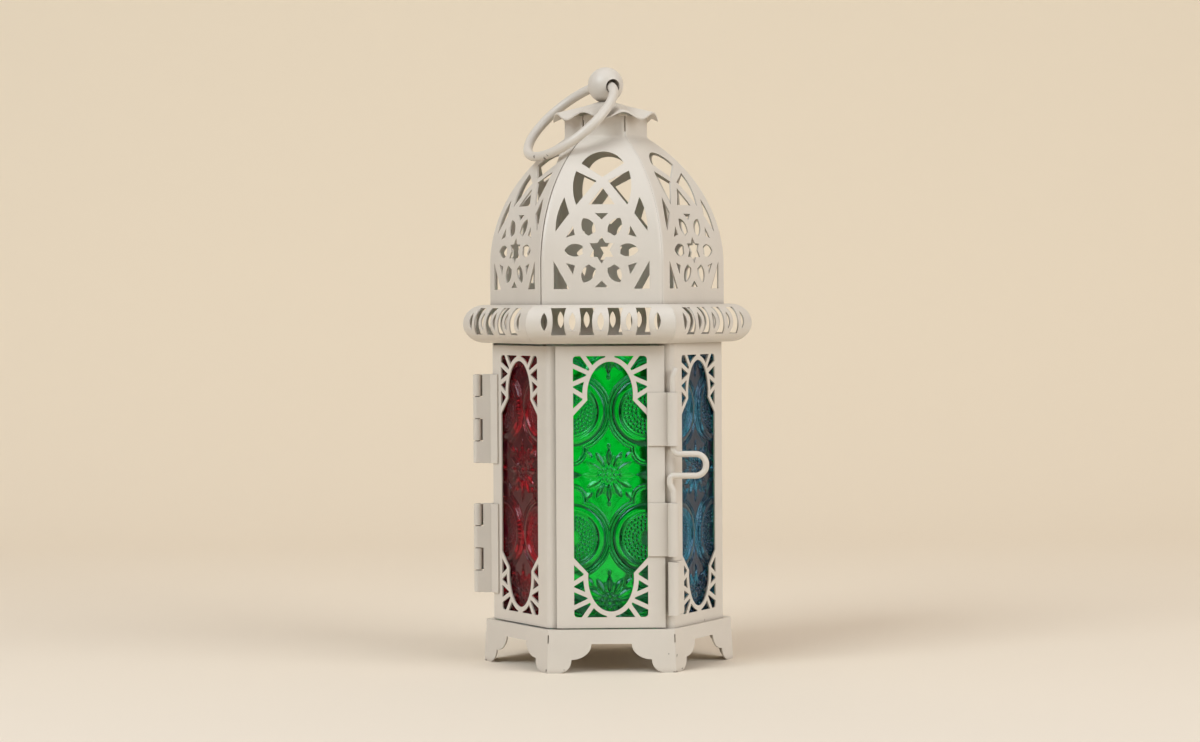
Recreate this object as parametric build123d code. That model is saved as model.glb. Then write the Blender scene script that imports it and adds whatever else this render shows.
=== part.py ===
from build123d import *
import os
from math import atan2, cos, degrees, hypot, pi, radians, sin, sqrt, tan

# Hexagonal candle lantern of painted sheet steel with figured glass, in millimetres.
# The origin is on the table under the middle, +Z is up, and the front face looks along -Y.

# Sheet, corners and shared clearances
SIDES = 6
SHEET = 0.6
CUT_OVERRUN = 20.0
LIFT_GAP = 0.4
FACE_NAMES = ["front", "front_right", "rear_right", "rear", "rear_left", "front_left"]

# Pressed base with bracket feet
BASE_HEIGHT = 15.5
BASE_TOP_FLAT = 39.4
BASE_FOOT_FLAT = 40.1
FOOT_PAD = 4.2
FOOT_LOBE_WIDTH = 4.5
FOOT_LOBE_HEIGHT = 4.8
BRACKET_LOBE_WIDTH = 7.2
BRACKET_LOBE_HEIGHT = 5.6
CORNER_SLIT_WIDTH = 0.5
CORNER_SLIT_HEIGHT = 3.0
CORNER_SLIT_DROP = 1.2

# Candle cup on the floor
CUP_RADIUS = 20.6
CUP_HEIGHT = 7.0
CUP_LIP = 0.8

# Body panels
BODY_FLAT = 37.85
PANEL_HEIGHT = 101.4
PANEL_EDGE_SETBACK = 2.3
CORNER_BEND = 2.9
CORNER_TAB = 5.0
FOLD_GAP = 0.8
WINDOW_STILE = 6.25
WINDOW_SILL = 3.9
WINDOW_HEAD = 3.6
WINDOW_CORNER = 1.3
ARCH_HALF = 8.25
ARCH_RISE = 12.0
ARCH_HEAD = 2.0
ARCH_CROWN_HALF = 1.65
ARCH_NECK_DEPTH = 15.8
ARCH_SHOULDER_DEPTH = 21.4
STRAP = 1.7
SPOKE = 1.6

# Spokes between the window edge and the arch strap, as shares of the half window and the shoulder depth
SPOKE_SHARES = [
    ((0.724, 0.0), (0.511, 0.187)),
    ((1.0, 0.164), (0.614, 0.276)),
    ((1.0, 0.467), (0.707, 0.388)),
    ((1.0, 0.57), (0.748, 0.668)),
]

# Glass panes and the folded clips that hold them
GLASS = 2.4
GLASS_COVER = 2.0
RELIEF = 0.9
MOTIF_WIDTH = 27.4
MOTIF_HEIGHT = 45.6
MOTIF_LIFT = 4.4
MEDALLION_RADIUS = 11.0
MEDALLION_MOULDING = 2.6
FLOWER_PETALS = 12
FLOWER_ROOT = 3.4
FLOWER_RADIUS = 9.2
FLOWER_PETAL_WIDTH = 2.0
FLOWER_HUB = 2.6
FLOWER_RELIEF = 0.45
LEAF_ROOT = 8.4
LEAF_TIP = 12.0
LEAF_WIDTH = 2.4
LEAVES = 4
DART_LENGTH = 3.9
DART_WIDTH = 4.4
CLIP_LENGTH = 5.0
CLIP_LAP = 1.6
CLIP_ROOM = 0.1
CLIP_HEIGHT_SHARES = [0.22, 0.78]

# Half-round pierced rim between the body and the dome
RIM_HEIGHT = 14.1
RIM_OUTSET = 8.5
RIM_UPPER_LAP = 1.55
RIM_LOWER_LAP = 3.4
RIM_RINGS = 5
RIM_RING_PITCH = 10.1
RIM_WINDOW_HEIGHT = 9.7
RIM_WINDOW_END = 5.5
RIM_WINDOW_WAIST = 4.0
RIM_SLOT_WIDTH = 2.3
RIM_SLOT_HEIGHT = 6.4
RIM_PATTERN_LIFT = 1.0
RIM_NOTCH_WIDTH = 2.4
RIM_NOTCH_DEPTH = 0.6

# Dome of six pierced petals, and its neck
ROOF_TWIST = -4.2
DOME_FLAT = 38.0
DOME_BAND = 14.0
DOME_RADIUS = 58.0
NECK_FLAT = 13.65
NECK_SLIT = 1.1
NECK_BEND = 2.0
DOME_CORNER_BEND = 3.0
CORNER_ANGLE_ROOM = 1.0
PETAL_SEAM = 0.03
PETAL_OPEN_SEAM = 0.35
FIELD_HALF = 17.2
FIELD_RISE = 50.0
FIELD_SILL = 5.6
ROSETTE_RADIUS = 13.3
ROSETTE_STAR = 4.9
ROSETTE_STAR_WAIST = 2.9
ROSETTE_HUB = 6.8
ROSETTE_LEAF_WIDTH = 4.6
ROSETTE_LEAF_ROOT = 5.6
ROSETTE_WEDGE_TIP = 11.0
ROSETTE_WEDGE_WIDTH = 4.8

# Openings of the petal above and beside the rosette, as shares of the half field and its rise
ROSETTE_PLACE_SHARE = 0.278
CORNER_HOLE_SHARES = [(1.0, 0.2), (1.0, 0.0), (0.674, 0.0)]
LEAF_HOLE_SHARES = [(0.96, 0.414), (0.919, 0.544), (0.785, 0.66), (0.68, 0.542)]
KITE_HOLE_SHARES = [(0.535, 0.604), (0.613, 0.736), (0.555, 0.854), (0.122, 0.78)]
TENT_HOLE_SHARES = [(-0.273, 0.608), (0.273, 0.608), (0.0, 0.734)]
ARCH_HOLE_SHARES = [(0.448, 0.91), (0.0, 1.0), (-0.448, 0.91), (0.0, 0.808)]

# Scalloped cap, ball finial and hanging ring
CAP_RADIUS = 19.4
CAP_SCALLOPS = 8
CAP_WAVE = 1.3
CAP_CROWN_RADIUS = 8.0
CAP_CROWN_DROP = 1.6
CAP_RIM_DROP = 5.6
CAP_RISE = 60.9
CAP_SEAT_GAP = 0.1
CAP_LAP = 0.05
BALL_RADIUS = 6.6
BALL_SEAT_RADIUS = 2.1
BALL_BORE_RADIUS = 2.75
BALL_BORE_DROP = 0.3
BALL_BORE_ANGLE = 7.5
RING_RADIUS = 19.6
RING_WIRE = 3.5
RING_SAG = 43.1
RING_SEAT = 0.45
RING_AXIS_ANGLE = -65.6
SCREW_RADIUS = 1.5
SCREW_HEAD_RADIUS = 2.8
SCREW_HEAD = 1.8
SCREW_REACH = 1.7
SCREW_FIT = 0.05

# Butt hinges at the left corner
HINGE_AXIS_OUTSET = 4.595
HINGE_HEAD_ROOM = 10.8
HINGE_FOOT_ROOM = 9.6
HINGE_BETWEEN = 15.0
HINGE_KNUCKLES = 4
KNUCKLE_RADIUS = 1.6
KNUCKLE_GAP = 0.3
PIN_RADIUS = 0.9
PIN_FIT = 0.06
HINGE_LEAF = 5.2

# Sliding door bolt at the front right corner
BOLT_AXIS_OUTSET = 1.5
BOLT_WIRE = 2.2
BOLT_FIT = 0.2
GUIDE_RADIUS = 2.1
GUIDE_LEAF_START = 13.3
TUBES = 3
KEEPER_ROOM = 4.5
KEEPER_GAP = 2.0
GUIDE_BETWEEN = 20.5
GUIDE_HEAD_ROOM = 16.8
BOLT_FOOT_INSET = 0.3
BOLT_TOP_REACH = 8.8
BOLT_TIP = 3.4
BOLT_TIP_LEAN = 1.2
BOLT_BEND = 2.0
ELBOW_REACH = 1.3
ELBOW_HEIGHT = 3.0
ELBOW_DROP = 5.6
ELBOW_BEND = 1.4
HANDLE_ROOM = 2.9
HANDLE_HEIGHT = 7.8
HANDLE_REACH = 11.7
HANDLE_END_FLAT = 0.2

# Derived places
HALF_TURN = 180.0
FACE_TURN = 360.0 / SIDES
HALF_FACE = FACE_TURN / 2
RIM_FOOT = BASE_HEIGHT + LIFT_GAP + PANEL_HEIGHT + LIFT_GAP * 2
RIM_TOP = RIM_FOOT + RIM_HEIGHT
RIM_RADIUS = RIM_HEIGHT / 2
RIM_FLAT = DOME_FLAT + RIM_OUTSET
RIM_SPINE = RIM_FLAT - RIM_RADIUS
DOME_SPRING = RIM_TOP + DOME_BAND
DOME_SPINE = DOME_RADIUS - DOME_FLAT
CAP_TOP = DOME_SPRING + CAP_RISE
FIELD_FOOT = RIM_TOP + FIELD_SILL
NECK_FOOT = DOME_SPRING + sqrt(DOME_RADIUS**2 - (NECK_FLAT + DOME_SPINE)**2)
NECK_CORNER = NECK_FLAT / cos(radians(HALF_FACE))
CAP_SLOPE = (CAP_RIM_DROP - CAP_CROWN_DROP) / (CAP_RADIUS - CAP_CROWN_RADIUS)
CAP_REACH_SHARE = (NECK_CORNER - CAP_CROWN_RADIUS) / (CAP_RADIUS - CAP_CROWN_RADIUS)
CAP_AT_NECK = CAP_CROWN_DROP + CAP_SLOPE * (NECK_CORNER - CAP_CROWN_RADIUS) + CAP_WAVE * CAP_REACH_SHARE
NECK_TOP = CAP_TOP - CAP_AT_NECK - SHEET - CAP_SEAT_GAP
BALL_CENTRE = CAP_TOP + sqrt(BALL_RADIUS**2 - BALL_SEAT_RADIUS**2)
BORE_CENTRE = BALL_CENTRE - BALL_BORE_DROP
BODY_HALF_SIDE = BODY_FLAT * tan(radians(HALF_FACE))
BODY_CORNER = BODY_FLAT / cos(radians(HALF_FACE))
PANEL_FOOT = BASE_HEIGHT + LIFT_GAP
PANEL_TOP = PANEL_FOOT + PANEL_HEIGHT
PANEL_HALF = BODY_HALF_SIDE - PANEL_EDGE_SETBACK
WINDOW_HALF = PANEL_HALF - WINDOW_STILE
WINDOW_WIDTH = WINDOW_HALF * 2
WINDOW_HEIGHT = PANEL_HEIGHT - WINDOW_SILL - WINDOW_HEAD
WINDOW_MIDDLE = PANEL_FOOT + WINDOW_SILL + WINDOW_HEIGHT / 2
GLASS_FACE = BODY_FLAT - SHEET
GLASS_HALF = WINDOW_HALF + GLASS_COVER
HINGE_AXIS_RADIUS = BODY_CORNER + HINGE_AXIS_OUTSET
HINGE_HEIGHT = (PANEL_HEIGHT - HINGE_HEAD_ROOM - HINGE_FOOT_ROOM - HINGE_BETWEEN) / 2
HINGE_LOWER_FOOT = PANEL_FOOT + HINGE_FOOT_ROOM
HINGE_UPPER_FOOT = PANEL_TOP - HINGE_HEAD_ROOM - HINGE_HEIGHT
GUIDE_HEIGHT = (PANEL_HEIGHT - KEEPER_ROOM - KEEPER_GAP - GUIDE_BETWEEN - GUIDE_HEAD_ROOM) / TUBES
KEEPER_FOOT = PANEL_FOOT + KEEPER_ROOM
LOWER_GUIDE_FOOT = KEEPER_FOOT + GUIDE_HEIGHT + KEEPER_GAP
UPPER_GUIDE_FOOT = LOWER_GUIDE_FOOT + GUIDE_HEIGHT + GUIDE_BETWEEN
BOLT_FOOT = LOWER_GUIDE_FOOT + BOLT_FOOT_INSET
BOLT_TOP = UPPER_GUIDE_FOOT + GUIDE_HEIGHT + BOLT_TOP_REACH
HANDLE_FOOT = UPPER_GUIDE_FOOT - HANDLE_ROOM - HANDLE_HEIGHT
BOLT_RADIUS_OUT = BODY_CORNER + BOLT_AXIS_OUTSET
BOLT_X = BOLT_RADIUS_OUT * sin(radians(HALF_FACE))
BOLT_Y = -BOLT_RADIUS_OUT * cos(radians(HALF_FACE))


def turned(shape, angle):
    """The shape turned about the lantern's upright axis."""
    return Rotation(0, 0, angle) * shape


def save(shape, name):
    """Write one piece to its own file."""
    export_step(shape, os.path.join("parts", name + ".step"))


def hexagon(flat, height):
    """A hexagon of a given half width across flats, corners on the X axis."""
    return Plane.XY.offset(height) * RegularPolygon(flat / cos(radians(HALF_FACE)), SIDES)


def wedge(reach, height, left_seam, right_seam):
    """The sixth of the space that belongs to the front face, less a seam at each corner."""
    tip = ((left_seam - right_seam) / (2 * cos(radians(HALF_FACE))), -left_seam - right_seam)
    half = reach * tan(radians(HALF_FACE))
    corners = [tip, (tip[0] + half, tip[1] - reach), (tip[0] - half, tip[1] - reach)]
    return extrude(make_face(Polyline(*corners, close=True)), height)


def towards_front(sketch, depth):
    """A prism from the middle plane out through the front face."""
    return extrude(Plane.XZ * sketch, depth)


def lens(width, height):
    """A pointed oval with its long axis upright."""
    top, foot = (0, height / 2), (0, -height / 2)
    right = ThreePointArc(foot, (width / 2, 0), top)
    left = ThreePointArc(top, (-width / 2, 0), foot)
    return make_face([right, left])


def arc_about(centre, radius, start, end):
    """An arc given by its centre, radius and two angles in degrees."""
    def at(angle):
        return (centre[0] + radius * cos(radians(angle)), centre[1] + radius * sin(radians(angle)))
    return ThreePointArc(at(start), at((start + end) / 2), at(end))


# Base: a pressed hexagonal plate with a flared skirt cut into six bracket feet
def make_base():
    shell = loft([hexagon(BASE_FOOT_FLAT, 0), hexagon(BASE_TOP_FLAT, BASE_HEIGHT)])
    hollow = loft([hexagon(BASE_FOOT_FLAT - SHEET, 0), hexagon(BASE_TOP_FLAT - SHEET, BASE_HEIGHT - SHEET)])
    base = shell - hollow
    foot_half = BASE_FOOT_FLAT * tan(radians(HALF_FACE)) - FOOT_PAD
    cusp_half = foot_half - FOOT_LOBE_WIDTH
    top_half = cusp_half - BRACKET_LOBE_WIDTH
    top = FOOT_LOBE_HEIGHT + BRACKET_LOBE_HEIGHT
    low_middle = (FOOT_LOBE_HEIGHT - CUT_OVERRUN) / 2
    low = Pos(0, low_middle) * Rectangle(foot_half * 2, FOOT_LOBE_HEIGHT + CUT_OVERRUN)
    high = Pos(0, top / 2) * Rectangle(cusp_half * 2, top)
    for side in (-1, 1):
        low -= Pos(side * foot_half, FOOT_LOBE_HEIGHT) * Ellipse(FOOT_LOBE_WIDTH, FOOT_LOBE_HEIGHT)
        high -= Pos(side * cusp_half, top) * Ellipse(cusp_half - top_half, BRACKET_LOBE_HEIGHT)
    opening = extrude(Plane.XZ * (low + high), BASE_FOOT_FLAT + CUT_OVERRUN, both=True)
    slit_height = BASE_HEIGHT - SHEET - CORNER_SLIT_DROP - CORNER_SLIT_HEIGHT / 2
    slit = Pos(BASE_FOOT_FLAT / cos(radians(HALF_FACE)), 0, slit_height) * Box(
        CORNER_SLIT_HEIGHT * 2, CORNER_SLIT_WIDTH, CORNER_SLIT_HEIGHT)
    for number in range(SIDES // 2):
        base -= turned(opening, number * FACE_TURN)
    for number in range(SIDES):
        base -= turned(slit, number * FACE_TURN)
    return base


# Candle cup: a pressed round tray with an outward lip, fixed to the floor of the base
def make_cup():
    outline = Polyline(
        (0, 0), (CUP_RADIUS, 0), (CUP_RADIUS, CUP_HEIGHT - SHEET), (CUP_RADIUS + CUP_LIP, CUP_HEIGHT - SHEET),
        (CUP_RADIUS + CUP_LIP, CUP_HEIGHT), (CUP_RADIUS - SHEET, CUP_HEIGHT), (CUP_RADIUS - SHEET, SHEET),
        (0, SHEET), close=True)
    return Pos(0, 0, BASE_HEIGHT) * revolve(Plane.XZ * make_face(outline), Axis.Z)


# Window tracery: an ogee arch strap at both ends, held to the window edge by spokes
def arch_opening():
    head = WINDOW_HEIGHT / 2
    centre = head - ARCH_HEAD - ARCH_RISE
    neck = head - ARCH_NECK_DEPTH
    shoulder = head - ARCH_SHOULDER_DEPTH
    neck_half = ARCH_HALF * sqrt(1 - ((centre - neck) / ARCH_RISE)**2)
    arch = Pos(0, centre) * Ellipse(ARCH_HALF, ARCH_RISE)
    arch &= Pos(0, neck + head / 2) * Rectangle(WINDOW_WIDTH, head)
    corners = [(neck_half, neck), (WINDOW_HALF, shoulder), (WINDOW_HALF, -shoulder), (neck_half, -neck)]
    corners += [(-x, y) for x, y in reversed(corners)]
    middle = make_face(Polyline(*corners, close=True))
    return middle + arch + mirror(arch, Plane.XZ)


def tracery_quarter():
    head = WINDOW_HEIGHT / 2
    centre = head - ARCH_HEAD - ARCH_RISE
    slope = atan2(ARCH_SHOULDER_DEPTH - ARCH_NECK_DEPTH, WINDOW_HALF - ARCH_HALF)
    shoulder = head - ARCH_SHOULDER_DEPTH + STRAP / cos(slope)
    neck = head - ARCH_NECK_DEPTH
    corners = [(0, head), (WINDOW_HALF, head), (WINDOW_HALF, shoulder), (ARCH_HALF + STRAP, neck), (0, neck)]
    field = make_face(Polyline(*corners, close=True))
    field &= RectangleRounded(WINDOW_WIDTH, WINDOW_HEIGHT, WINDOW_CORNER)
    field -= Pos(0, centre) * Ellipse(ARCH_HALF + STRAP, ARCH_RISE + STRAP)
    field -= Pos(0, head) * Rectangle(ARCH_CROWN_HALF * 2, ARCH_RISE)
    for start_shares, end_shares in SPOKE_SHARES:
        x0, y0 = start_shares[0] * WINDOW_HALF, head - start_shares[1] * ARCH_SHOULDER_DEPTH
        x1, y1 = end_shares[0] * WINDOW_HALF, head - end_shares[1] * ARCH_SHOULDER_DEPTH
        length = hypot(x1 - x0, y1 - y0) + STRAP + SPOKE * 2
        angle = degrees(atan2(y1 - y0, x1 - x0))
        field -= Pos((x0 + x1) / 2, (y0 + y1) / 2) * Rot(0, 0, angle) * Rectangle(length, SPOKE)
    return field


def window_cutter():
    quarter = tracery_quarter()
    half = quarter + mirror(quarter, Plane.YZ)
    sketch = arch_opening() + half + mirror(half, Plane.XZ)
    return Pos(0, 0, WINDOW_MIDDLE) * towards_front(sketch, BODY_FLAT + CUT_OVERRUN)


# Panel: a flat plate whose edges either stop short of the corner or fold round it behind the next panel
def panel_plan(folds):
    outer, inner = -BODY_FLAT, -GLASS_FACE
    turn = radians(FACE_TURN)
    run = (CORNER_TAB * cos(turn), CORNER_TAB * sin(turn))

    def fold(depth):
        level = BODY_FLAT - depth
        return ((level - SHEET - FOLD_GAP - level * cos(turn)) / sin(turn), -level)

    near, far = fold(0), fold(SHEET)
    folded = [near, (near[0] + run[0], near[1] + run[1]), (far[0] + run[0], far[1] + run[1]), far]
    straight = [(PANEL_HALF, outer), (PANEL_HALF, inner)]
    right = folded if "right" in folds else straight
    left = [(-x, y) for x, y in reversed(folded if "left" in folds else straight)]
    plan = make_face(Polyline(*right, *left, close=True))
    for side in folds:
        for (x, y), radius in ((near, CORNER_BEND), (far, CORNER_BEND - SHEET)):
            bend = Vector(x if side == "right" else -x, y)
            nearest = sorted(plan.vertices(), key=lambda v: (Vector(v) - bend).length)[:1]
            plan = fillet(nearest, radius)
    return plan


def clip():
    """A folded lug, standing off the back of the panel and lapping over the glass towards -X."""
    reach = GLASS + CLIP_ROOM + SHEET
    leg = Pos(SHEET / 2, reach / 2) * Rectangle(SHEET, reach)
    lap = Pos((SHEET - CLIP_LAP) / 2, reach - SHEET / 2) * Rectangle(CLIP_LAP + SHEET, SHEET)
    return extrude(leg + lap, CLIP_LENGTH / 2, both=True)


def make_panel(folds, foot, height):
    panel = Pos(0, 0, foot) * extrude(panel_plan(folds), height)
    panel -= window_cutter()
    for side in (0, 1):
        for share in CLIP_HEIGHT_SHARES:
            height_here = WINDOW_MIDDLE + (share * 2 - 1) * WINDOW_HEIGHT / 2
            lug = Pos(GLASS_HALF + CLIP_ROOM, -GLASS_FACE, height_here) * clip()
            panel += mirror(lug, Plane.YZ) if side else lug
    sill = WINDOW_MIDDLE - WINDOW_HEIGHT / 2 - GLASS_COVER
    panel += Pos(0, -GLASS_FACE, sill) * Rotation(0, 90, 0) * clip()
    return panel


# Glass: a pane behind each window, pressed with flowers and with medallions in a round moulding
def flower():
    sketch = Sketch() + Circle(FLOWER_HUB)
    length, leaf = FLOWER_RADIUS - FLOWER_ROOT, LEAF_TIP - LEAF_ROOT
    for number in range(FLOWER_PETALS):
        turn = Rot(0, 0, number * HALF_TURN * 2 / FLOWER_PETALS)
        sketch += turn * Pos(0, FLOWER_ROOT + length / 2) * lens(FLOWER_PETAL_WIDTH, length)
    for number in range(LEAVES):
        turn = Rot(0, 0, (number + 1 / 2) * HALF_TURN * 2 / LEAVES)
        sketch += turn * Pos(0, LEAF_ROOT + leaf / 2) * lens(LEAF_WIDTH, leaf)
    for side in (-1, 1):
        base = side * (MOTIF_WIDTH / 2 + GLASS_COVER)
        tip = side * (MOTIF_WIDTH / 2 - DART_LENGTH)
        sketch += make_face(Polyline((tip, 0), (base, DART_WIDTH / 2), (base, -DART_WIDTH / 2), close=True))
    return sketch


def make_glass():
    height = WINDOW_HEIGHT + GLASS_COVER * 2
    ground = RELIEF - GLASS_FACE
    whole = Pos(0, -GLASS_FACE + GLASS / 2, WINDOW_MIDDLE) * Box(GLASS_HALF * 2, GLASS, height)
    pane = whole - Pos(0, ground - RELIEF, WINDOW_MIDDLE) * Box(GLASS_HALF * 2, RELIEF * 2, height)
    bow = ((MEDALLION_MOULDING / 2)**2 + RELIEF**2) / (2 * RELIEF)
    across = (MEDALLION_RADIUS + bow) * 2
    moulding = Rotation(90, 0, 0) * Torus(MEDALLION_RADIUS, bow)
    moulding -= Pos(0, (bow + RELIEF) / 2, 0) * Box(across, bow * 2, across)
    sides = Pos(0, -GLASS_FACE, WINDOW_MIDDLE) * Box(GLASS_HALF * 2, GLASS * 4, height)
    petals = extrude(Plane.XZ * flower(), FLOWER_RELIEF)
    middle = WINDOW_MIDDLE + MOTIF_LIFT
    for row in (-1, 0, 1):
        pane += (Pos(0, ground, middle + row * MOTIF_HEIGHT) * petals) & sides
    for row in (-1, 1):
        for column in (-1, 1):
            place = Pos(column * MOTIF_WIDTH / 2, ground - RELIEF + bow, middle + row * MOTIF_HEIGHT / 2)
            pane += (place * moulding) & sides
    return pane


# Rim: a half-round strip with turned lips, pierced with pointed rings and waisted windows
def rim_profile():
    middle = RIM_FOOT + RIM_RADIUS
    inner_lower = RIM_LOWER_LAP - BODY_FLAT
    inner_upper = RIM_UPPER_LAP - DOME_FLAT
    edges = [
        arc_about((-RIM_SPINE, middle), RIM_RADIUS, 90, 270),
        Line((-RIM_SPINE, RIM_FOOT), (inner_lower, RIM_FOOT)),
        Line((inner_lower, RIM_FOOT), (inner_lower, RIM_FOOT + SHEET)),
        Line((inner_lower, RIM_FOOT + SHEET), (-RIM_SPINE, RIM_FOOT + SHEET)),
        arc_about((-RIM_SPINE, middle), RIM_RADIUS - SHEET, 270, 90),
        Line((-RIM_SPINE, RIM_TOP - SHEET), (inner_upper, RIM_TOP - SHEET)),
        Line((inner_upper, RIM_TOP - SHEET), (inner_upper, RIM_TOP)),
        Line((inner_upper, RIM_TOP), (-RIM_SPINE, RIM_TOP)),
    ]
    return make_face(edges)


def rim_window():
    end, waist, half = RIM_WINDOW_END / 2, RIM_WINDOW_WAIST / 2, RIM_WINDOW_HEIGHT / 2
    right = ThreePointArc((end, -half), (waist, 0), (end, half))
    left = ThreePointArc((-end, half), (-waist, 0), (-end, -half))
    return make_face([right, Line((end, half), (-end, half)), left, Line((-end, -half), (end, -half))])


def make_rim():
    strip = extrude(Plane.YZ * rim_profile(), RIM_FLAT, both=True)
    strip &= wedge(RIM_FLAT + CUT_OVERRUN, RIM_TOP + CUT_OVERRUN, 0, 0)
    middle = RIM_FOOT + RIM_RADIUS + RIM_PATTERN_LIFT
    first = -(RIM_RINGS - 1) / 2 * RIM_RING_PITCH
    for number in range(RIM_RINGS):
        place = first + number * RIM_RING_PITCH
        slot = Pos(place, middle) * lens(RIM_SLOT_WIDTH, RIM_SLOT_HEIGHT)
        strip -= towards_front(slot, RIM_FLAT + CUT_OVERRUN)
        strip -= Pos(place, -DOME_FLAT - RIM_NOTCH_DEPTH / 2, RIM_TOP) * Box(
            RIM_NOTCH_WIDTH, RIM_NOTCH_DEPTH, SHEET * 4)
    for number in range(RIM_RINGS - 1):
        place = first + (number + 1 / 2) * RIM_RING_PITCH
        strip -= towards_front(Pos(place, middle) * rim_window(), RIM_FLAT + CUT_OVERRUN)
    return strip


# Petal: a pierced strip rolled to the dome's curve and bent at its edges, with an upright tab for the neck
def dome_body(depth):
    """The whole dome and neck as one solid, set in by a depth, with its corners bent round."""
    flat, radius, neck = DOME_FLAT - depth, DOME_RADIUS - depth, NECK_FLAT - depth
    end = HALF_TURN - degrees(atan2(sqrt(radius**2 - (neck + DOME_SPINE)**2), neck + DOME_SPINE))
    arc = arc_about((DOME_SPINE, DOME_SPRING), radius, HALF_TURN, end)
    left = [Line((-flat, RIM_TOP), arc @ 0), arc, Line(arc @ 1, (-neck, NECK_TOP))]
    ends = [Line((-flat, RIM_TOP), (flat, RIM_TOP)), Line((-neck, NECK_TOP), (neck, NECK_TOP))]
    outline = make_face([*left, *[mirror(edge, Plane.YZ) for edge in left], *ends])
    slab = extrude(Plane.YZ * outline, DOME_FLAT * 2, both=True)
    body = slab & turned(slab, FACE_TURN) & turned(slab, FACE_TURN * 2)
    neck_foot = (arc @ 1).Y
    level = [edge for edge in body.edges() if abs((edge @ 0).Z - (edge @ 1).Z) < SHEET]
    body = fillet([edge for edge in level if abs((edge @ 0).Z - neck_foot) < SHEET], NECK_BEND + depth)
    corners = []
    for edge in body.edges():
        middle = edge @ (1 / 2)
        angle = degrees(atan2(middle.Y, middle.X)) % FACE_TURN
        rises = abs((edge @ 0).Z - (edge @ 1).Z) > SHEET
        if rises and min(angle, FACE_TURN - angle) < CORNER_ANGLE_ROOM:
            corners.append(edge)
    return fillet(corners, DOME_CORNER_BEND - depth)


def field_point(share):
    return (share[0] * FIELD_HALF, FIELD_FOOT + share[1] * FIELD_RISE)


def flat_hole(shares):
    return make_face(Polyline(*[field_point(share) for share in shares], close=True))


def bowed_hole(shares):
    """An opening whose first three points lie on an arc, closed by straight sides."""
    points = [field_point(share) for share in shares]
    return make_face([ThreePointArc(*points[:3]), Polyline(points[2], points[3], points[0])])


def rosette():
    star = []
    for number in range(SIDES * 2):
        radius = ROSETTE_STAR_WAIST if number % 2 == 0 else ROSETTE_STAR
        angle = radians(number * HALF_FACE)
        star.append((radius * cos(angle), radius * sin(angle)))
    sketch = make_face(Polyline(*star, close=True))
    length = ROSETTE_RADIUS - ROSETTE_LEAF_ROOT
    leaf = Pos(0, ROSETTE_LEAF_ROOT + length / 2) * lens(ROSETTE_LEAF_WIDTH, length) - Circle(ROSETTE_HUB)
    half = ROSETTE_WEDGE_WIDTH / 2
    corners = [(0, ROSETTE_WEDGE_TIP), (half, ROSETTE_RADIUS), (-half, ROSETTE_RADIUS)]
    gore = make_face(Polyline(*corners, close=True))
    for number in range(SIDES):
        sketch += Rot(0, 0, number * FACE_TURN + HALF_FACE) * leaf
        sketch += Rot(0, 0, number * FACE_TURN) * gore
    return Pos(0, field_point((0, ROSETTE_PLACE_SHARE))[1]) * sketch


def petal_openings():
    side = flat_hole(CORNER_HOLE_SHARES) + bowed_hole(LEAF_HOLE_SHARES) + bowed_hole(KITE_HOLE_SHARES)
    middle = flat_hole(TENT_HOLE_SHARES) + bowed_hole(ARCH_HOLE_SHARES)
    return rosette() + side + mirror(side, Plane.YZ) + middle


def make_petal(dome, right_seam):
    petal = dome & wedge(DOME_FLAT + CUT_OVERRUN, NECK_TOP + CUT_OVERRUN, PETAL_SEAM, right_seam)
    petal -= towards_front(petal_openings(), DOME_FLAT + CUT_OVERRUN)
    slit_foot = NECK_FOOT + NECK_BEND
    slit = Pos(NECK_FLAT * tan(radians(HALF_FACE)), -NECK_FLAT, slit_foot + CUT_OVERRUN / 2) * Box(
        NECK_SLIT, CUT_OVERRUN / 2, CUT_OVERRUN)
    return petal - slit - mirror(slit, Plane.YZ)


# Cap: a shallow pressed cone with a scalloped edge
def cap_edge(radius, height, wave):
    """A closed ring whose height rises and falls once for each scallop."""
    count = CAP_SCALLOPS * 4
    points = []
    for number in range(count):
        angle = 2 * pi * number / count
        points.append((radius * cos(angle), radius * sin(angle), height - wave * cos(CAP_SCALLOPS * angle)))
    return Spline(*points, periodic=True)


def make_cap():
    crown, rim = CAP_TOP - CAP_CROWN_DROP, CAP_TOP - CAP_RIM_DROP
    rings = [cap_edge(radius, height - drop, wave)
             for radius, height, wave in ((CAP_CROWN_RADIUS, crown, 0), (CAP_RADIUS, rim, CAP_WAVE))
             for drop in (0, SHEET)]
    upper_in, lower_in, upper_out, lower_out = rings
    pairs = [(upper_in, upper_out), (upper_out, lower_out), (lower_out, lower_in), (lower_in, upper_in)]
    skirt = Solid(Shell([Face.make_surface_from_curves(a, b) for a, b in pairs]))
    hole, edge = SCREW_RADIUS + SCREW_FIT, CAP_CROWN_RADIUS + CAP_LAP
    outline = Polyline(
        (hole, CAP_TOP), (SCREW_HEAD_RADIUS, CAP_TOP), (edge, crown), (edge, crown - SHEET),
        (SCREW_HEAD_RADIUS, CAP_TOP - SHEET), (hole, CAP_TOP - SHEET), close=True)
    return revolve(Plane.XZ * make_face(outline), Axis.Z) + skirt


# Finial: a drilled ball on the cap, held by a screw from below, and the ring's lean in its bore
def hung(shape):
    """The shape leant as the ring hangs, from a frame with the bore along X and the ring towards -Y."""
    return turned(Rotation(RING_SAG, 0, 0) * Rotation(0, BALL_BORE_ANGLE, 0) * shape, RING_AXIS_ANGLE)


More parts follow.
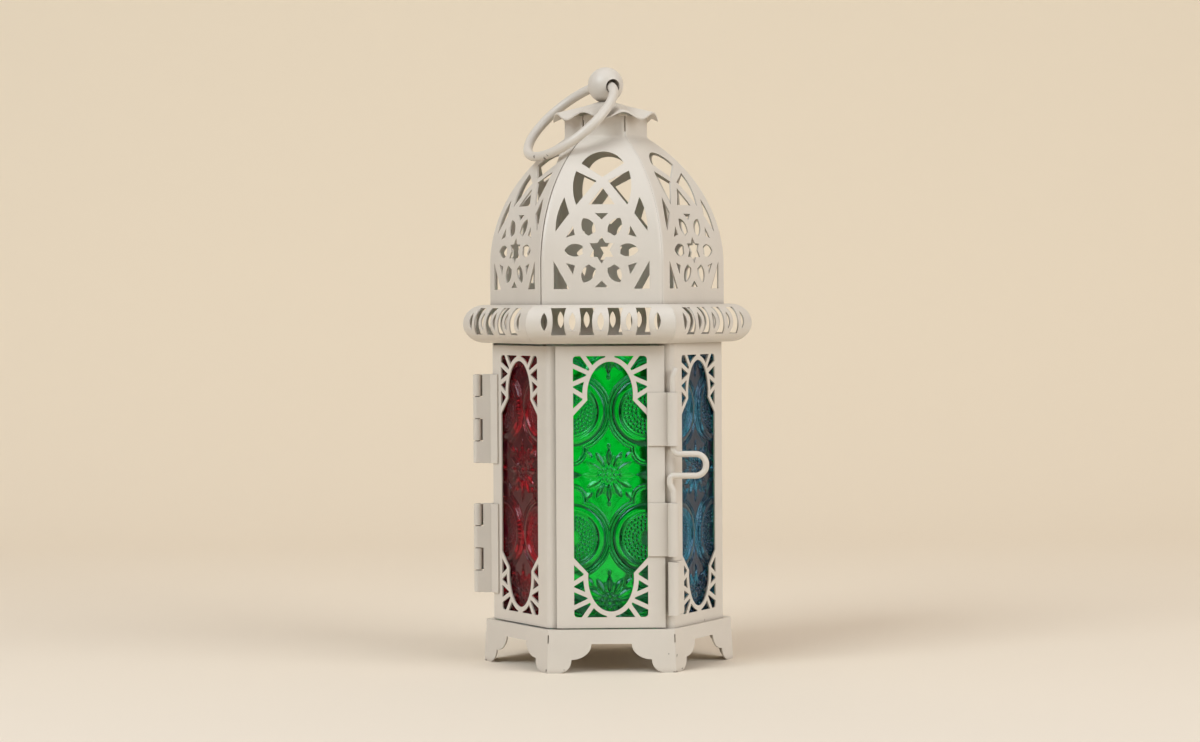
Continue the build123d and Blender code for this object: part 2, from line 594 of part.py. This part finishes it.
def make_ball():
    ball = Pos(0, 0, BALL_CENTRE) * Sphere(BALL_RADIUS)
    ball -= Pos(0, 0, CAP_TOP - BALL_RADIUS) * Box(BALL_RADIUS * 2, BALL_RADIUS * 2, BALL_RADIUS * 2)
    bore = Pos(0, 0, BORE_CENTRE) * hung(Rotation(0, 90, 0) * Cylinder(BALL_BORE_RADIUS, BALL_RADIUS * 4))
    thread = Pos(0, 0, CAP_TOP) * Cylinder(SCREW_RADIUS + SCREW_FIT, (SCREW_REACH + SCREW_FIT) * 2)
    return ball - bore - thread


def make_screw():
    top = CAP_TOP - SHEET
    shank = Pos(0, 0, top + (SCREW_REACH + SHEET) / 2) * Cylinder(SCREW_RADIUS, SCREW_REACH + SHEET)
    return shank + Pos(0, 0, top - SCREW_HEAD / 2) * Cylinder(SCREW_HEAD_RADIUS, SCREW_HEAD)


# Ring: a bent wire ring, threaded through the ball and leaning on the dome's shoulder
def make_ring():
    ring = Pos(0, RING_SEAT - RING_RADIUS, 0) * Torus(RING_RADIUS, RING_WIRE / 2)
    return Pos(0, 0, BORE_CENTRE) * hung(ring)


# Hinge: two leaves with interleaved knuckles, folded round the corner, and a pin
def hinge_leaf(door):
    """The leaf seen with its axis upright at the origin and the lantern towards +X."""
    step = HINGE_HEIGHT / HINGE_KNUCKLES
    level = -(KNUCKLE_RADIUS - SHEET / 2)
    turn = radians(FACE_TURN)
    face = BODY_FLAT + SHEET / 2
    bend_x = HINGE_AXIS_RADIUS - (face + level * cos(turn)) / sin(turn)
    end = (bend_x + HINGE_LEAF * cos(turn), level - HINGE_LEAF * sin(turn))
    root = KNUCKLE_RADIUS + KNUCKLE_GAP
    across = (SHEET / 2 * sin(turn), SHEET / 2 * cos(turn))
    mitre = SHEET / 2 * tan(turn / 2)
    corners = [(root, level - SHEET / 2), (bend_x - mitre, level - SHEET / 2),
               (end[0] - across[0], end[1] - across[1]), (end[0] + across[0], end[1] + across[1]),
               (bend_x + mitre, level + SHEET / 2), (root, level + SHEET / 2)]
    leaf = extrude(make_face(Polyline(*corners, close=True)), HINGE_HEIGHT)
    tongue = Pos(root / 2, level) * Rectangle(root, SHEET)
    knuckle = Circle(KNUCKLE_RADIUS) + tongue - Circle(PIN_RADIUS + PIN_FIT)
    for number in range(HINGE_KNUCKLES):
        if (number % 2 == 0) == door:
            foot = number * step + KNUCKLE_GAP / 2
            leaf += Pos(0, 0, foot) * extrude(knuckle, step - KNUCKLE_GAP)
    return leaf if door else mirror(leaf, Plane.XZ)


def save_hinge(name, foot):
    place = Pos(-HINGE_AXIS_RADIUS, 0, foot)
    save(place * hinge_leaf(True), name + "_door_leaf")
    save(place * hinge_leaf(False), name + "_frame_leaf")
    save(place * Pos(0, 0, HINGE_HEIGHT / 2) * Cylinder(PIN_RADIUS, HINGE_HEIGHT), name + "_pin")


# Door bolt: a bent wire with a pull handle, two guides on the door and a keeper on the next panel
def make_guide(foot):
    """A rolled tube on a leaf that lies on the front panel's face."""
    level = -BODY_FLAT - SHEET / 2
    tube = Pos(BOLT_X, BOLT_Y) * Circle(GUIDE_RADIUS)
    plate_end = BOLT_X - sqrt(GUIDE_RADIUS**2 - (BOLT_Y - level)**2) + SHEET
    plate = Pos((GUIDE_LEAF_START + plate_end) / 2, level) * Rectangle(plate_end - GUIDE_LEAF_START, SHEET)
    plan = tube + plate - Pos(BOLT_X, BOLT_Y) * Circle(BOLT_WIRE / 2 + BOLT_FIT)
    return Pos(0, 0, foot) * extrude(plan, GUIDE_HEIGHT)


def make_keeper():
    """The same guide mirrored across the corner, on the front right panel."""
    return turned(mirror(turned(make_guide(KEEPER_FOOT), -HALF_FACE), Plane.YZ), HALF_FACE)


def make_bolt():
    top = BOLT_TOP - BOLT_TIP
    points = [(0, BOLT_FOOT), (0, HANDLE_FOOT - ELBOW_DROP), (-ELBOW_REACH, HANDLE_FOOT - ELBOW_HEIGHT),
              (-ELBOW_REACH, HANDLE_FOOT), (HANDLE_REACH, HANDLE_FOOT),
              (HANDLE_REACH, HANDLE_FOOT + HANDLE_HEIGHT), (0, HANDLE_FOOT + HANDLE_HEIGHT), (0, top),
              (BOLT_TIP_LEAN, BOLT_TOP)]
    round_end = (HANDLE_HEIGHT - HANDLE_END_FLAT) / 2
    bends = [ELBOW_BEND, ELBOW_BEND, ELBOW_BEND, round_end, round_end, BOLT_BEND, BOLT_BEND]
    path = FilletPolyline(*points, radius=bends)
    path = Plane.XZ * path
    section = Plane(path @ 0, z_dir=path % 0) * Circle(BOLT_WIRE / 2)
    return Pos(BOLT_X, BOLT_Y, 0) * sweep(section, path=path)


os.makedirs("parts", exist_ok=True)

save(make_base(), "base")
save(make_cup(), "candle_cup")

DOOR_FACES = ("front", "front_left")
FOLDS = {"front_right": ["left", "right"], "rear_right": ["right"], "rear": ["right"],
         "front_left": ["right"]}
GLASS_PANE, RIM_STRIP = make_glass(), make_rim()
DOME = dome_body(0) - dome_body(SHEET)
for index, face_name in enumerate(FACE_NAMES):
    angle = index * FACE_TURN
    folds = FOLDS.get(face_name, [])
    if face_name in DOOR_FACES:
        panel = make_panel(folds, PANEL_FOOT, PANEL_HEIGHT)
    else:
        panel = make_panel(folds, BASE_HEIGHT, RIM_FOOT - BASE_HEIGHT)
    save(turned(panel, angle), "panel_" + face_name)
    save(turned(GLASS_PANE, angle), "glass_" + face_name)
    save(turned(RIM_STRIP, angle + ROOF_TWIST), "rim_" + face_name)
    petal = make_petal(DOME, PETAL_OPEN_SEAM if face_name == "front_left" else PETAL_SEAM)
    save(turned(petal, angle + ROOF_TWIST), "petal_" + face_name)

save(turned(make_cap(), ROOF_TWIST), "cap")
save(turned(make_ball(), ROOF_TWIST), "finial_ball")
save(make_screw(), "finial_screw")
save(turned(make_ring(), ROOF_TWIST), "hanging_ring")

save_hinge("hinge_upper", HINGE_UPPER_FOOT)
save_hinge("hinge_lower", HINGE_LOWER_FOOT)

save(make_guide(UPPER_GUIDE_FOOT), "bolt_guide_upper")
save(make_guide(LOWER_GUIDE_FOOT), "bolt_guide_lower")
save(make_keeper(), "bolt_keeper")
save(make_bolt(), "door_bolt")
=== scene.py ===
import math

import bmesh
import bpy
import numpy as np
from mathutils import Matrix, Vector


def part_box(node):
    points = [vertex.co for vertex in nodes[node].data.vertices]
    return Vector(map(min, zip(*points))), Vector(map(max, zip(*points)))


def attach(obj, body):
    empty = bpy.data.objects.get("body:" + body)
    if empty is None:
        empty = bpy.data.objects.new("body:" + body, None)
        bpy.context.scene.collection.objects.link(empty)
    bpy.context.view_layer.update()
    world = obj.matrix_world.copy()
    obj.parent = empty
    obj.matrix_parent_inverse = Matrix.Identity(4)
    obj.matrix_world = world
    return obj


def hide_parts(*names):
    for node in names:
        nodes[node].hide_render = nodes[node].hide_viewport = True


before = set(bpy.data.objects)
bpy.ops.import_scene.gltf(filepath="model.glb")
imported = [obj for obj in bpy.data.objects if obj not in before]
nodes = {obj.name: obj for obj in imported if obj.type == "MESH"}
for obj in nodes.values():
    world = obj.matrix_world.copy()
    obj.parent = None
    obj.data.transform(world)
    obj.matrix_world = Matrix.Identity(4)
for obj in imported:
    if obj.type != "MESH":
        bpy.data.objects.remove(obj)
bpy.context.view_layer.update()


# Base. One pressed sheet of steel with a hexagonal floor and a skirt cut into bracket feet.
# It is sprayed with an ivory enamel, which has chipped to grey where the feet meet the table.
foot_chip_height = 0.004
foot_rounding = 0.00018


def position(tree, coordinates):
    """The place on a surface, split into its X, Y and Z."""
    place = tree.nodes.new("ShaderNodeTexCoord")
    split = tree.nodes.new("ShaderNodeSeparateXYZ")
    tree.links.new(place.outputs[coordinates], split.inputs["Vector"])
    return split.outputs


def mottle(tree, fineness, detail):
    """Cloudy spots that stay with the piece, smaller where the fineness is larger."""
    place = tree.nodes.new("ShaderNodeTexCoord")
    spots = tree.nodes.new("ShaderNodeTexNoise")
    spots.inputs["Scale"].default_value = fineness
    spots.inputs["Detail"].default_value = detail
    tree.links.new(place.outputs["Object"], spots.inputs["Vector"])
    return spots.outputs["Fac"]


def graded(tree, value, span, result):
    """A value that runs over a span, carried over to another range and held at its ends."""
    grade = tree.nodes.new("ShaderNodeMapRange")
    grade.inputs["From Min"].default_value, grade.inputs["From Max"].default_value = span
    grade.inputs["To Min"].default_value, grade.inputs["To Max"].default_value = result
    tree.links.new(value, grade.inputs["Value"])
    return grade.outputs["Result"]


def two_tone(tree, value, span, colours):
    """A colour that goes from the first to the second as the value runs over a span."""
    tone = tree.nodes.new("ShaderNodeValToRGB")
    for stop, place, colour in zip(tone.color_ramp.elements, span, colours):
        stop.position = place
        stop.color = (*colour, 1)
    tree.links.new(value, tone.inputs["Fac"])
    return tone.outputs["Color"]


def covered(tree, amount, under, over):
    """A colour with one plain colour laid over it, by an amount from 0 to 1."""
    cover = tree.nodes.new("ShaderNodeMix")
    cover.data_type = "RGBA"
    cover.inputs["B"].default_value = (*over, 1)
    tree.links.new(amount, cover.inputs["Factor"])
    tree.links.new(under, cover.inputs["A"])
    return cover.outputs["Result"]


def ivory_enamel(name, chip_low, chip_high):
    """Sprayed enamel on steel, worn through in spots from chip_low up to chip_high (metres)."""
    deep_ivory, pale_ivory = (0.645, 0.59, 0.515), (0.69, 0.635, 0.56)
    bare_steel, shade_and_dust_colour = (0.2, 0.17, 0.14), (0.24, 0.19, 0.14)
    easy_chip, hard_chip, chip_edge = 0.6, 0.79, 0.02
    material = bpy.data.materials.new(name)
    material.use_nodes = True
    tree = material.node_tree
    shader = tree.nodes["Principled BSDF"]

    cloud = mottle(tree, fineness=38, detail=4)
    paint = two_tone(tree, cloud, span=(0.3, 0.7), colours=(deep_ivory, pale_ivory))

    hold = graded(tree, position(tree, "Object")["Z"], (chip_low, chip_high), (easy_chip, hard_chip))
    chip = tree.nodes.new("ShaderNodeMath")
    chip.operation = "SUBTRACT"
    tree.links.new(mottle(tree, fineness=420, detail=2), chip.inputs[0])
    tree.links.new(hold, chip.inputs[1])
    chipped = graded(tree, chip.outputs["Value"], span=(0, chip_edge), result=(0, 1))
    paint = covered(tree, chipped, paint, bare_steel)

    # Painted shade and dust: the enamel is darkened towards a dusty brown in creases, corners and gaps
    # between parts, where shade falls.
    crease = tree.nodes.new("ShaderNodeAmbientOcclusion")
    crease.samples = 6
    crease.inputs["Distance"].default_value = 0.0028
    crease_shade_and_dust = graded(tree, crease.outputs["AO"], span=(0.25, 0.8), result=(0.7, 0))
    tree.links.new(covered(tree, crease_shade_and_dust, paint, shade_and_dust_colour), shader.inputs["Base Color"])

    gloss = graded(tree, cloud, span=(0, 1), result=(0.3, 0.44))
    tree.links.new(gloss, shader.inputs["Roughness"])

    peel = tree.nodes.new("ShaderNodeBump")
    peel.inputs["Strength"].default_value = 0.12
    peel.inputs["Distance"].default_value = 0.0002
    tree.links.new(mottle(tree, fineness=700, detail=2), peel.inputs["Height"])
    tree.links.new(peel.outputs["Normal"], shader.inputs["Normal"])
    return material


def coat(node, material, rounding):
    """Paint a sheet metal node and round its cut edges by the thickness of the coat."""
    piece = nodes[node]
    piece.data.materials.clear()
    piece.data.materials.append(material)
    weld = piece.modifiers.new("joined", "WELD")
    weld.merge_threshold = 0.000002
    soft = piece.modifiers.new("rounded", "BEVEL")
    soft.width = rounding
    soft.segments = 2
    soft.limit_method = "ANGLE"
    soft.angle_limit = math.radians(35)
    soft.use_clamp_overlap = True
    even = piece.modifiers.new("even", "WEIGHTED_NORMAL")
    even.keep_sharp = False


foot_enamel = ivory_enamel("ivory_enamel_feet", chip_low=0, chip_high=foot_chip_height)
coat("base", foot_enamel, foot_rounding)


# Candle cup. A small round tray pressed from the same sheet, spot welded to the floor of the base.
# Its enamel is whole, because the cup stands clear of the table.
table_clearance = 0.0001
cup_rounding = 0.00015
enamel = ivory_enamel("ivory_enamel", chip_low=0, chip_high=table_clearance)
coat("candle_cup", enamel, cup_rounding)


# Body panels. Flat plates with a pierced window, of which four fold round the corner behind the next one.
# They are soldered to the base and the rim, apart from the two that make the door.
sides = ["front", "front_right", "rear_right", "rear", "rear_left", "front_left"]
edge_rounding = 0.00013
for side in sides:
    coat("panel_" + side, enamel, edge_rounding)


# Glass panes. Coloured glass pressed with flowers, dotted medallions and double-line frames.
# Each pane stands behind its window and is held by folded clips.
def pressed_glass(name, colour, clearness, glint):
    """Coloured glass. What is not clear is body colour, and glint is the tint of its shine."""
    material = bpy.data.materials.new(name)
    material.use_nodes = True
    shader = material.node_tree.nodes["Principled BSDF"]
    shader.inputs["Base Color"].default_value = (*colour, 1)
    shader.inputs["Roughness"].default_value = 0.09
    shader.inputs["Specular Tint"].default_value = (*glint, 1)
    shader.inputs["IOR"].default_value = 1.5
    shader.inputs["Transmission Weight"].default_value = clearness
    return material


def ridge(distance, half_width, high):
    """A round-backed line, highest on its middle and 0 past its half width."""
    return high * np.sqrt(np.clip(1 - (distance / half_width) ** 2, 0, 1))


def off_spoke(angle, count, turn):
    """The angle to the nearest of a count of spokes round a centre."""
    step = 2 * math.pi / count
    return np.abs((angle - turn + step / 2) % step - step / 2)


def petals(radius, angle, count, inner, outer, width, turn, high):
    """Pointed leaves round a centre, each with two slopes like a roof."""
    fullness, hair = 0.8, 0.0001
    across = off_spoke(angle, count, turn) * radius
    along = np.clip((radius - inner) / (outer - inner), 0, 1)
    half = width / 2 * np.sin(np.pi * along) ** fullness + hair
    return high * np.clip(1 - across / half, 0, 1) * (along > 0) * (along < 1)


def beads(radius, angle, ring, count, size, turn, high):
    """Round dots spread evenly round a ring."""
    across = off_spoke(angle, count, turn) * ring
    return ridge(np.hypot(radius - ring, across), size, high)


def flower(u, v):
    """Height of one pressed flower, in millimetres, at a place measured from its middle."""
    radius, angle = np.hypot(u, v), np.arctan2(v, u)
    return np.maximum.reduce([
        petals(radius, angle, count=12, inner=3.3, outer=9.4, width=2.45, turn=0, high=0.64),
        petals(radius, angle, count=12, inner=3.8, outer=7.2, width=1.4, turn=math.pi / 12, high=0.32),
        petals(radius, angle, count=4, inner=8.6, outer=12.0, width=2.2, turn=math.pi / 4, high=0.6),
        petals(radius, angle, count=2, inner=9.2, outer=11.4, width=1.6, turn=math.pi / 2, high=0.45),
        beads(radius, angle, ring=2.3, count=8, size=0.75, turn=0, high=0.45),
        ridge(radius, half_width=0.9, high=0.4)])


def medallion(u, v):
    """Height of one dotted medallion inside its round moulding, which is steeper on the inside."""
    moulding_radius, moulding_half, moulding_high = 10.6, 1.9, 0.88
    crest_width, inner_fall, thread_radius = 0.3325, 0.95, 9.0
    bead_rows, first_ring, ring_step, bead_pitch = 4, 3.5, 1.42, 1.45
    radius, angle = np.hypot(u, v), np.arctan2(v, u)
    off = radius - moulding_radius
    inside = moulding_high * np.clip(1 + crest_width / inner_fall + off / inner_fall, 0, 1)
    height = np.where(off < 0, inside, ridge(off, moulding_half, moulding_high))
    height = np.maximum(height, ridge(radius - thread_radius, half_width=0.34, high=0.34))
    for row in range(bead_rows):
        ring = first_ring + ring_step * row
        count = round(2 * math.pi * ring / bead_pitch)
        dots = beads(radius, angle, ring, count, size=0.55, turn=row * math.pi / count, high=0.5)
        height = np.maximum(height, dots)
    return height


def figured_relief(u, v):
    """Height of the whole pattern, in millimetres, at a place on the pane."""
    repeat_across, repeat_up = 27.4, 45.6
    dart_start, dart_spread, dart_half, dart_high, hair = 9.8, 0.4, 2.3, 0.8, 0.001
    arc_radius, barb_offset, barb_radius, far_off = 13.2, 13.6, 4.6, 100.0
    border_lines = (0, 1.0)
    height = np.zeros_like(u)
    for row in (-1, 0, 1):
        height = np.maximum(height, flower(u, v - row * repeat_up))
        for column in (-1, 1):
            dart_length = column * u - dart_start
            half = np.clip(dart_length * dart_spread, hair, dart_half)
            dart = np.clip(1 - np.abs(v - row * repeat_up) / half, 0, 1)
            height = np.maximum(height, dart_high * dart * (dart_length > 0))
    border = np.full_like(u, far_off)
    for row in (-1.5, -0.5, 0.5, 1.5):
        for column in (-0.5, 0.5):
            x, y = u - column * repeat_across, v - row * repeat_up
            height = np.maximum(height, medallion(x, y))
            border = np.minimum(border, np.hypot(x, y) - arc_radius)
            for barb in (-1, 1):
                border = np.minimum(border, np.hypot(x, y - barb * barb_offset) - barb_radius)
    for line in border_lines:
        height = np.maximum(height, ridge(border - line, half_width=0.36, high=0.4))
    return height


def picked(items, kind):
    """The items of one kind, vertices or edges, out of what an operator gives back."""
    return [item for item in items if isinstance(item, kind)]


def glass_pane(side, material, slide, lift):
    """A pane in the front, with its pattern slid and lifted (millimetres), then turned to its own side."""
    low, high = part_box("glass_front")
    width, thick, tall = high - low
    middle_x, middle_z = (low.x + high.x) / 2, (low.z + high.z) / 2
    relief_room, hair, millimetre = 0.0009, 0.00001, 0.001
    front = low.y + relief_room
    mesh = bpy.data.meshes.new("pane_" + side)
    shape = bmesh.new()
    bmesh.ops.create_grid(shape, x_segments=168, y_segments=540, size=0.5)
    bmesh.ops.scale(shape, vec=(width, tall, 1), verts=shape.verts)
    bmesh.ops.rotate(shape, matrix=Matrix.Rotation(math.pi / 2, 3, "X"), verts=shape.verts)
    bmesh.ops.translate(shape, vec=(middle_x, front, middle_z), verts=shape.verts)
    rim = [edge for edge in shape.edges if edge.is_boundary]
    back = bmesh.ops.extrude_edge_only(shape, edges=rim)["geom"]
    bmesh.ops.translate(shape, vec=(0, thick - relief_room, 0), verts=picked(back, bmesh.types.BMVert))
    bmesh.ops.contextual_create(shape, geom=picked(back, bmesh.types.BMEdge))
    bmesh.ops.recalc_face_normals(shape, faces=shape.faces)
    shape.to_mesh(mesh)
    shape.free()
    places = np.empty(len(mesh.vertices) * 3)
    mesh.vertices.foreach_get("co", places)
    places = places.reshape(-1, 3)
    on_front = np.abs(places[:, 1] - front) < hair
    u = (places[:, 0] - middle_x) / millimetre - slide
    v = (places[:, 2] - middle_z) / millimetre - lift
    places[:, 1] -= np.where(on_front, figured_relief(u, v) * millimetre, 0)
    mesh.vertices.foreach_set("co", places.ravel())
    side_turn = 2 * math.pi / len(sides)
    mesh.transform(Matrix.Rotation(side_turn * sides.index(side), 4, "Z"))
    mesh.shade_smooth()
    mesh.set_sharp_from_angle(angle=math.radians(60))
    mesh.materials.append(material)
    pane = bpy.data.objects.new("pane_" + side, mesh)
    bpy.context.collection.objects.link(pane)
    return pane


glasses = {
    "red_glass": pressed_glass(
        "pressed_red_glass", colour=(0.5, 0.013, 0.025), clearness=0.95, glint=(0.7, 0.52, 0.56)),
    "green_glass": pressed_glass(
        "pressed_green_glass", colour=(0.008, 0.87, 0.22), clearness=1, glint=(0.5, 1, 0.95)),
    "blue_glass": pressed_glass(
        "pressed_blue_glass", colour=(0.05, 0.28, 0.48), clearness=0.95, glint=(0.36, 0.42, 0.62))}
pane_slots = ["green_glass", "blue_glass", "red_glass"] * 2
pattern_slides = [-0.5, 0.3, 0.4, -0.4, 0.2, -0.2]
pattern_lifts = [4.2, 4.4, 4.0, 4.7, 3.9, 5.0]
for side, slot, slide, lift in zip(sides, pane_slots, pattern_slides, pattern_lifts):
    pane = glass_pane(side, glasses[slot], slide, lift)
    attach(pane, "door" if side in ("front", "front_left") else "frame")
    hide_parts("glass_" + side)


# Rim. Strips of sheet rolled to a half round and pierced with pointed rings and waisted windows.
# They are mitred at the corners and soldered between the body and the dome.
for side in sides:
    coat("rim_" + side, enamel, edge_rounding)


# Dome. Pierced petals of sheet, rolled to one curve and soldered edge to edge.
# Each ends in an upright tab, and together the tabs make the neck under the cap.
for side in sides:
    coat("petal_" + side, enamel, edge_rounding)


# Cap and finial. A spun cap with a scalloped edge, under a ball that is drilled across for the ring.
# A screw from below holds the ball down on the cap.
for node in ("cap", "finial_ball", "finial_screw"):
    coat(node, enamel, edge_rounding)


# Hanging ring. A bent wire threaded through the ball, painted with the rest.
# The paint has chipped at its free end, where it knocks on the dome.
ring_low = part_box("hanging_ring")[0].z
ring_chip_height = 0.006
ring_enamel = ivory_enamel("ivory_enamel_ring", ring_low, ring_low + ring_chip_height)
coat("hanging_ring", ring_enamel, edge_rounding)


# Hinges. Folded leaves with rolled knuckles round a wire pin, one pair above and one below.
# They are soldered to the door and the next panel, and sprayed over in the shut position.
for place in ("upper", "lower"):
    for leaf in ("door_leaf", "frame_leaf", "pin"):
        coat("hinge_" + place + "_" + leaf, enamel, edge_rounding)


# Door bolt. A wire bent into a pull, which slides in two rolled tubes soldered to the door.
# Its foot drops into a third tube, the keeper on the next panel, and all are sprayed with the rest.
for node in ("bolt_guide_upper", "bolt_guide_lower", "bolt_keeper", "door_bolt"):
    coat(node, enamel, edge_rounding)


# Studio. A seamless cream paper sweep, pale on the table, warmer where it rises behind,
# and falling into shade far to the left, where the red pane would mirror it.
table_cream, wall_cream, left_shade = (0.804, 0.722, 0.608), (0.884, 0.764, 0.586), (0.05, 0.04, 0.03)
half_width, front_edge, table_depth, bend_radius, wall_rise = 2.5, -0.8, 1.3, 0.6, 1.6
paper = bpy.data.materials.new("cream_paper")
paper.use_nodes = True
tree = paper.node_tree
shader = tree.nodes["Principled BSDF"]
spot = position(tree, "Object")
depth = graded(tree, spot["Y"], span=(-0.2, 0.9), result=(0, 1))
cream = two_tone(tree, depth, span=(0, 1), colours=(table_cream, wall_cream))
shade = graded(tree, spot["X"], span=(-1.3, -0.75), result=(0.85, 0))
tree.links.new(covered(tree, shade, cream, left_shade), shader.inputs["Base Color"])
shader.inputs["Roughness"].default_value = 0.9

sweep = bmesh.new()
near_edge = sweep.edges.new([sweep.verts.new((x, front_edge, 0)) for x in (-half_width, half_width)])
table = bmesh.ops.extrude_edge_only(sweep, edges=[near_edge])["geom"]
far_verts = picked(table, bmesh.types.BMVert)
bmesh.ops.translate(sweep, vec=(0, table_depth, 0), verts=far_verts)
table_edges = picked(table, bmesh.types.BMEdge)
far_edges = [edge for edge in table_edges if all(vert in far_verts for vert in edge.verts)]
bend = bmesh.ops.spin(
    sweep, geom=far_edges, cent=(0, front_edge + table_depth, bend_radius), axis=(1, 0, 0),
    angle=math.pi / 2, steps=24, use_duplicate=False)["geom_last"]
wall = bmesh.ops.extrude_edge_only(sweep, edges=picked(bend, bmesh.types.BMEdge))["geom"]
bmesh.ops.translate(sweep, vec=(0, 0, wall_rise), verts=picked(wall, bmesh.types.BMVert))
bmesh.ops.recalc_face_normals(sweep, faces=sweep.faces)
sweep_mesh = bpy.data.meshes.new("paper_sweep")
sweep.to_mesh(sweep_mesh)
sweep.free()
sweep_mesh.shade_smooth()
sweep_mesh.materials.append(paper)
backdrop = bpy.data.objects.new("paper_sweep", sweep_mesh)
bpy.context.collection.objects.link(backdrop)


# Studio light. A broad soft box on the left, a weaker one on the right, a faint one overhead,
# and an even room. A dark screen stands behind the camera, so that the front pane shows its colour
# and not a reflection.
lantern_middle = Vector((0, 0, 0.1))


def soft_box(name, size, power, place, colour):
    """A square lamp of a size in metres and a power in watts, turned to the lantern."""
    lamp = bpy.data.lights.new(name, "AREA")
    lamp.shape = "SQUARE"
    lamp.size = size
    lamp.energy = power
    lamp.color = colour
    holder = bpy.data.objects.new(name, lamp)
    facing = (lantern_middle - Vector(place)).to_track_quat("-Z", "Y")
    holder.matrix_world = Matrix.Translation(place) @ facing.to_matrix().to_4x4()
    bpy.context.collection.objects.link(holder)


soft_box("top_box", size=1.4, power=5, place=(-0.2, -0.3, 1.9), colour=(1, 1, 1))
soft_box("left_box", size=1.0, power=21.5, place=(-1.1, -1.1, 1.3), colour=(0.845, 0.938, 1))
soft_box("right_box", size=1.2, power=16.2, place=(1.3, -1.0, 0.9), colour=(0.93, 0.98, 1))
room = bpy.data.worlds.new("room")
room.use_nodes = True
tree = room.node_tree
even_room = tree.nodes["Background"]
even_room.inputs["Color"].default_value = (1, 0.858, 0.814, 1)
screen = graded(tree, position(tree, "Generated")["Y"], span=(-0.9, -0.7), result=(0.02, 0.41))
tree.links.new(screen, even_room.inputs["Strength"])
far_wall = tree.nodes.new("ShaderNodeBackground")
far_wall.inputs["Color"].default_value = (0.8, 0.68, 0.52, 1)
seen = tree.nodes.new("ShaderNodeLightPath")
surround = tree.nodes.new("ShaderNodeMixShader")
tree.links.new(seen.outputs["Is Camera Ray"], surround.inputs["Fac"])
tree.links.new(even_room.outputs["Background"], surround.inputs[1])
tree.links.new(far_wall.outputs["Background"], surround.inputs[2])
tree.links.new(surround.outputs["Shader"], tree.nodes["World Output"].inputs["Surface"])
bpy.context.scene.world = room
bpy.context.scene.view_settings.view_transform = "Standard"


# Camera. A long lens a metre in front of the lantern, level with the dome and a little to the left.
# It looks slightly down and leans by a third of a degree, as the photograph does.
camera_place = (-0.02663, -1.07913, 0.13488)
yaw, pitch, roll = math.radians(-1.27), math.radians(-1.459), math.radians(-0.341)
sensor_width, focal_pixels, photo_pixels = 36, 2905.7, 1200
right = Vector((math.cos(yaw), math.sin(yaw), 0))
ahead = Vector((-math.sin(yaw) * math.cos(pitch), math.cos(yaw) * math.cos(pitch), math.sin(pitch)))
above = right.cross(ahead)
image_right = right * math.cos(roll) + above * math.sin(roll)
image_up = above * math.cos(roll) - right * math.sin(roll)
lens = bpy.data.cameras.new("camera")
lens.sensor_fit = "HORIZONTAL"
lens.sensor_width = sensor_width
lens.lens = sensor_width * focal_pixels / photo_pixels
camera = bpy.data.objects.new("camera", lens)
camera.matrix_world = Matrix.Translation(camera_place) @ Matrix(
    (image_right, image_up, -ahead)).transposed().to_4x4()
bpy.context.collection.objects.link(camera)
bpy.context.scene.camera = camera
